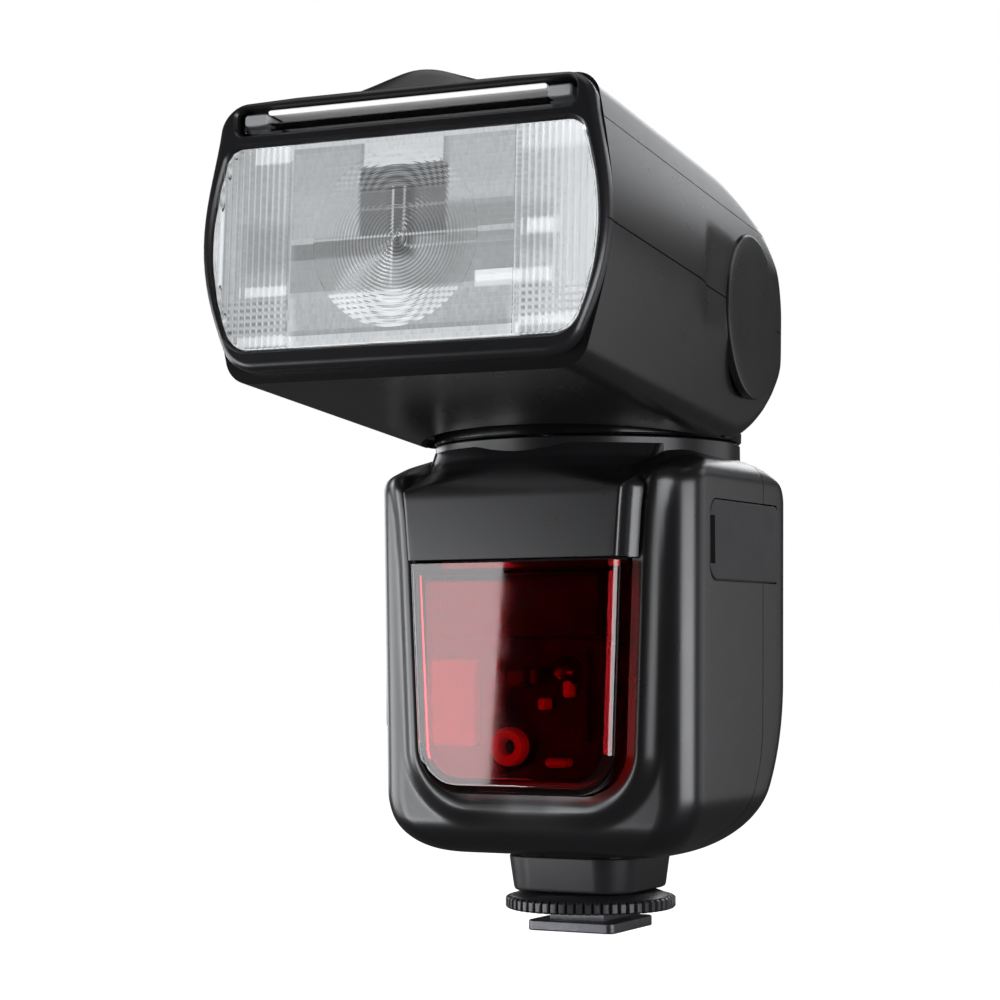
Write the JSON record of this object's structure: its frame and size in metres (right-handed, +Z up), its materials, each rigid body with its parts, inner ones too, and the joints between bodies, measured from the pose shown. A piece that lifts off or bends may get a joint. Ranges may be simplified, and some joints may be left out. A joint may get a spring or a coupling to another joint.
{
  "type": "speedlight flash",
  "caption": "Hot shoe flash: a body with a red front window on a locking foot, and a zoom head with a pull-out card and panel that tilts and swivels.",
  "frame": {"origin": "centre of the bottom face of the hot shoe foot", "axes": "+Z up, the lens and the red window face -Y, +X is the side with the port flap; the head stands swivelled 5 degrees about +Z and tilted 4 degrees up"},
  "size_m": [0.0827, 0.1221, 0.1528],
  "materials": {
    "body_plastic": "satin black plastic with a very fine moulded grain",
    "trim_plastic": "smooth dark black plastic",
    "window_red": "glossy dark red see-through plastic",
    "lens_clear": "clear moulded plastic with fine prism ribs",
    "panel_clear": "clear plastic with a diffusing pattern",
    "card_white": "smooth white plastic",
    "reflector_metal": "bright polished aluminium",
    "tube_glass": "clear fused glass",
    "holder_white": "heat-proof white plastic",
    "inner_plastic": "plain dark plastic",
    "lamp_red": "bright red clear plastic lamp",
    "board_green": "green lacquered circuit board",
    "coil_yellow": "taped winding",
    "sleeve_dark": "shrunk plastic sleeve",
    "steel": "plated steel",
    "contact_gold": "gold-plated contact",
    "foot_metal": "black coated metal",
    "ring_plastic": "dense black plastic, moulded teeth",
    "key_rubber": "grey-black soft keys",
    "flap_rubber": "soft black rubber",
    "screen": "clear dark display window",
    "lcd_glass": "grey-green display glass",
    "battery_plastic": "black battery housing"
  },
  "bodies": {
    "root": {"front_case": "body_plastic", "rear_case": "body_plastic", "sensor_window": "window_red", "window_tray": "inner_plastic", "af_lamp": "lamp_red", "optical_sensor": "lamp_red", "main_board": "board_green", "capacitor": "sleeve_dark", "transformer": "coil_yellow", "battery_bay": "inner_plastic", "battery_contacts": "contact_gold", "display_lens": "screen", "lcd_module": "lcd_glass", "control_board": "board_green", "keypad_bezel": "trim_plastic", "neck_flange": "body_plastic", "foot_collar": "body_plastic", "shoe_foot": "foot_metal", "shoe_contacts": "contact_gold", "case_screws": "steel", "port_panel": "inner_plastic"},
    "turret": {"swivel_base": "body_plastic", "swivel_shaft": "steel", "swivel_retainer": "steel"},
    "head": {"head_top_cover": "body_plastic", "head_upper_shell": "body_plastic", "head_lower_shell": "body_plastic", "front_bezel": "trim_plastic", "fresnel_lens": "lens_clear", "hinge_caps": "body_plastic", "tilt_pins": "steel", "panel_guide": "inner_plastic", "zoom_motor": "steel", "zoom_rails": "steel"},
    "bounce_card": {"catchlight_card": "card_white"},
    "diffuser": {"wide_panel": "panel_clear"},
    "zoom_carriage": {"reflector": "reflector_metal", "flash_tube": "tube_glass", "tube_holder": "holder_white"},
    "zoom_screw": {"lead_screw": "steel"},
    "washer": {"lock_washer": "steel"},
    "locking_ring": {"lock_ring": "ring_plastic"},
    "locking_pin": {"lock_pin": "steel"},
    "battery": {"battery_pack": "battery_plastic"},
    "latch": {"battery_latch": "trim_plastic"},
    "port_flap": {"port_cover": "flap_rubber"},
    "key_1": {"soft_key_1": "key_rubber"},
    "key_2": {"soft_key_2": "key_rubber"},
    "key_3": {"soft_key_3": "key_rubber"},
    "key_4": {"soft_key_4": "key_rubber"},
    "mode_key": {"mode_button": "key_rubber"},
    "wireless_key": {"wireless_button": "key_rubber"},
    "test_key": {"test_button": "key_rubber"},
    "set_key": {"set_button": "key_rubber"},
    "dial": {"dial_ring": "key_rubber"},
    "power_key": {"power_switch": "key_rubber"}
  },
  "joints": [
    {"name": "head_swivel", "type": "hinge", "parent": "root", "child": "turret", "pos_m": [0, 0, 0.095], "axis": [0, 0, 1], "range_deg": [-185, 175]},
    {"name": "head_tilt", "type": "hinge", "parent": "turret", "child": "head", "pos_m": [0.00061, -0.00697, 0.117], "axis": [-0.9962, -0.0872, 0], "range_deg": [-10, 86]},
    {"name": "card_slide", "type": "slide", "parent": "head", "child": "bounce_card", "axis": [0.0869, -0.9938, 0.0698], "range_m": [0, 0.04]},
    {"name": "panel_slide", "type": "slide", "parent": "head", "child": "diffuser", "axis": [0.0869, -0.9938, 0.0698], "range_m": [0, 0.044]},
    {"name": "zoom_slide", "type": "slide", "parent": "head", "child": "zoom_carriage", "axis": [-0.0869, 0.9938, -0.0698], "range_m": [0, 0.018]},
    {"name": "zoom_screw_turn", "type": "hinge", "parent": "head", "child": "zoom_screw", "pos_m": [0.03128, -0.00415, 0.119], "axis": [-0.0869, 0.9938, -0.0698], "range_deg": [0, 1620]},
    {"name": "washer_slide", "type": "slide", "parent": "root", "child": "washer", "axis": [0, 0, -1], "range_m": [0, 0.0012]},
    {"name": "ring_turn", "type": "hinge", "parent": "washer", "child": "locking_ring", "pos_m": [0, 0, 0.005], "axis": [0, 0, 1], "range_deg": [0, 60]},
    {"name": "pin_slide", "type": "slide", "parent": "root", "child": "locking_pin", "axis": [0, 0, -1], "range_m": [0, 0.0015]},
    {"name": "battery_slide", "type": "slide", "parent": "root", "child": "battery", "axis": [-1, 0, 0], "range_m": [0, 0.052]},
    {"name": "latch_slide", "type": "slide", "parent": "root", "child": "latch", "axis": [0, 0, 1], "range_m": [0, 0.0026], "stiffness_N_per_m": 300, "springref_m": -0.0004},
    {"name": "port_flap_turn", "type": "hinge", "parent": "root", "child": "port_flap", "pos_m": [0.033, 0.0152, 0.0745], "axis": [0, 0, 1], "range_deg": [0, 95]},
    {"name": "key_1_press", "type": "slide", "parent": "root", "child": "key_1", "axis": [0, -1, 0], "range_m": [0, 0.0008], "stiffness_N_per_m": 900, "springref_m": -0.0003},
    {"name": "key_2_press", "type": "slide", "parent": "root", "child": "key_2", "axis": [0, -1, 0], "range_m": [0, 0.0008], "stiffness_N_per_m": 900, "springref_m": -0.0003},
    {"name": "key_3_press", "type": "slide", "parent": "root", "child": "key_3", "axis": [0, -1, 0], "range_m": [0, 0.0008], "stiffness_N_per_m": 900, "springref_m": -0.0003},
    {"name": "key_4_press", "type": "slide", "parent": "root", "child": "key_4", "axis": [0, -1, 0], "range_m": [0, 0.0008], "stiffness_N_per_m": 900, "springref_m": -0.0003},
    {"name": "mode_press", "type": "slide", "parent": "root", "child": "mode_key", "axis": [0, -1, 0], "range_m": [0, 0.0008], "stiffness_N_per_m": 900, "springref_m": -0.0003},
    {"name": "wireless_press", "type": "slide", "parent": "root", "child": "wireless_key", "axis": [0, -1, 0], "range_m": [0, 0.0008], "stiffness_N_per_m": 900, "springref_m": -0.0003},
    {"name": "test_press", "type": "slide", "parent": "root", "child": "test_key", "axis": [0, -1, 0], "range_m": [0, 0.0008], "stiffness_N_per_m": 900, "springref_m": -0.0003},
    {"name": "set_press", "type": "slide", "parent": "root", "child": "set_key", "axis": [0, -1, 0], "range_m": [0, 0.0008], "stiffness_N_per_m": 900, "springref_m": -0.0003},
    {"name": "dial_turn", "type": "hinge", "parent": "root", "child": "dial", "pos_m": [0, 0.028, 0.044], "axis": [0, 1, 0], "continuous": true},
    {"name": "power_slide", "type": "slide", "parent": "root", "child": "power_key", "axis": [1, 0, 0], "range_m": [0, 0.003]}
  ],
  "couplings": [
    {"joint": "zoom_screw_turn", "follows": "zoom_slide", "rad_per_m": 1570.8},
    {"joint": "ring_turn", "follows": "washer_slide", "rad_per_m": 872.66},
    {"joint": "pin_slide", "follows": "washer_slide", "ratio": 1.25}
  ]
}
